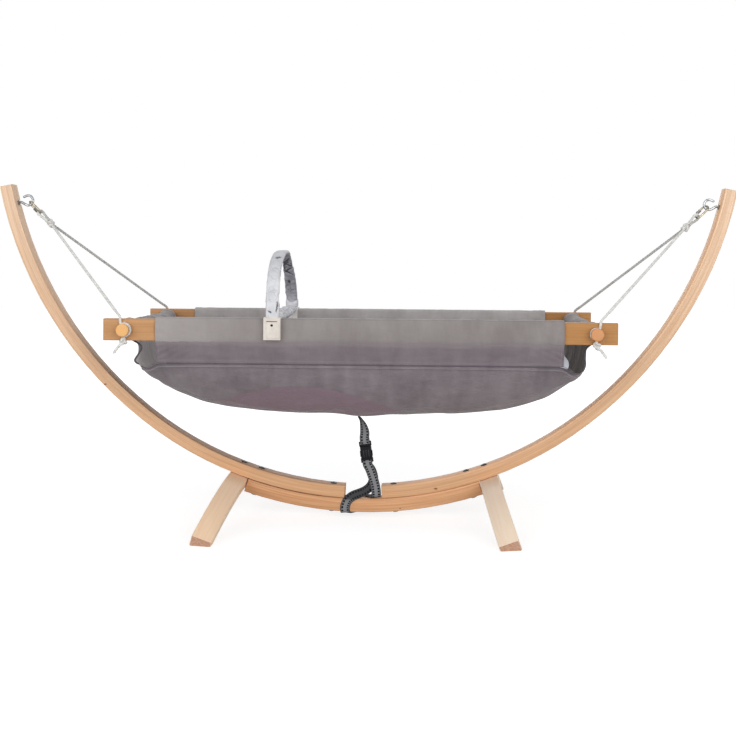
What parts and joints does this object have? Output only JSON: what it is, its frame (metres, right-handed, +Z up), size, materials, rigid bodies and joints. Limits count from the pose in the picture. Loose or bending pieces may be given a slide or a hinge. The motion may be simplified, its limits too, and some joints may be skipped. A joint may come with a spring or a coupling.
{
  "type": "baby hammock",
  "caption": "Baby hammock: a fabric cradle between two wooden rails hangs on ropes from a bent wood arc stand, with a toy bow and a safety strap.",
  "frame": {"origin": "on the floor, in the middle of the four foot ends", "axes": "+X along the stand, towards the right end in the front view with the toy bow on the left; +Y across the stand, away from the front view; +Z up"},
  "size_m": [1.8564, 0.654, 0.8317],
  "materials": {
    "stand_wood": "satin lacquer",
    "rail_wood": "satin lacquer",
    "rod_wood": "satin lacquer",
    "bright_steel": "bright zinc",
    "dark_steel": "dark zinc",
    "rope": "twisted cord",
    "sleeve_cloth": "woven",
    "basin_cloth": "woven",
    "bow_cloth": "woven",
    "clamp_plastic": "matte",
    "strip_plastic": "matte",
    "webbing": "woven webbing",
    "buckle_plastic": "satin"
  },
  "bodies": {
    "stand": {"left_arm": "stand_wood", "left_foot": "stand_wood", "left_inner_joint_bolt": "dark_steel", "left_inner_joint_sleeve_nut": "dark_steel", "left_outer_joint_bolt": "dark_steel", "left_outer_joint_sleeve_nut": "dark_steel", "left_foot_bolt": "dark_steel", "left_foot_sleeve_nut": "dark_steel", "left_hook": "bright_steel", "left_hook_collar": "bright_steel", "right_arm": "stand_wood", "right_foot": "stand_wood", "right_inner_joint_bolt": "dark_steel", "right_inner_joint_sleeve_nut": "dark_steel", "right_outer_joint_bolt": "dark_steel", "right_outer_joint_sleeve_nut": "dark_steel", "right_foot_bolt": "dark_steel", "right_foot_sleeve_nut": "dark_steel", "right_hook": "bright_steel", "right_hook_collar": "bright_steel", "centre_beam": "stand_wood", "lower_strap": "webbing"},
    "links": {"left_quick_link": "bright_steel", "right_quick_link": "bright_steel"},
    "left_ropes": {"left_rope": "rope"},
    "cradle": {"near_rail": "rail_wood", "near_rail_sleeve": "sleeve_cloth", "near_side_panel": "basin_cloth", "near_bow_clamp": "clamp_plastic", "near_clamp_screw": "dark_steel", "far_rail": "rail_wood", "far_rail_sleeve": "sleeve_cloth", "far_side_panel": "basin_cloth", "far_bow_clamp": "clamp_plastic", "far_clamp_screw": "dark_steel", "left_cross_rod": "rod_wood", "left_rod_tunnel": "sleeve_cloth", "left_end_panel": "basin_cloth", "right_cross_rod": "rod_wood", "right_rod_tunnel": "sleeve_cloth", "right_end_panel": "basin_cloth", "bottom_panel": "basin_cloth", "bow_cross_strap": "bow_cloth", "upper_strap": "webbing", "buckle_plug": "buckle_plastic", "buckle_socket": "buckle_plastic"},
    "right_ropes": {"right_rope": "rope"},
    "bow": {"bow_cover": "bow_cloth", "bow_strip": "strip_plastic"},
    "left_sleeve": {"left_link_sleeve": "bright_steel"},
    "right_sleeve": {"right_link_sleeve": "bright_steel"}
  },
  "joints": [
    {"name": "side_swing", "type": "hinge", "parent": "stand", "child": "links", "pos_m": [0, 0, 0.7833], "axis": [1, 0, 0], "range_deg": [-15, 15], "deforming": ["lower_strap"]},
    {"name": "left_rope_lean", "type": "hinge", "parent": "links", "child": "left_ropes", "pos_m": [-0.82995, 0, 0.75982], "axis": [0, 1, 0], "range_deg": [-3.05, 3.05]},
    {"name": "end_rock", "type": "hinge", "parent": "left_ropes", "child": "cradle", "pos_m": [-0.549, 0, 0.481], "axis": [0, 1, 0], "range_deg": [-4.5, 4.5], "deforming": ["lower_strap"]},
    {"name": "right_rope_lean", "type": "hinge", "parent": "cradle", "child": "right_ropes", "pos_m": [0.549, 0, 0.481], "axis": [0, 1, 0], "range_deg": [-4.6, 4.6]},
    {"name": "bow_lift", "type": "slide", "parent": "cradle", "child": "bow", "axis": [0, 0, 1], "range_m": [0, 0.04]},
    {"name": "left_sleeve_slide", "type": "slide", "parent": "links", "child": "left_sleeve", "axis": [-0.7098, 0, 0.7044], "range_m": [0, 0.007]},
    {"name": "right_sleeve_slide", "type": "slide", "parent": "links", "child": "right_sleeve", "axis": [0.7098, 0, 0.7044], "range_m": [0, 0.007]}
  ],
  "couplings": [
    {"joint": "left_rope_lean", "follows": "end_rock", "ratio": -0.66149},
    {"joint": "right_rope_lean", "follows": "end_rock", "ratio": -1}
  ]
}
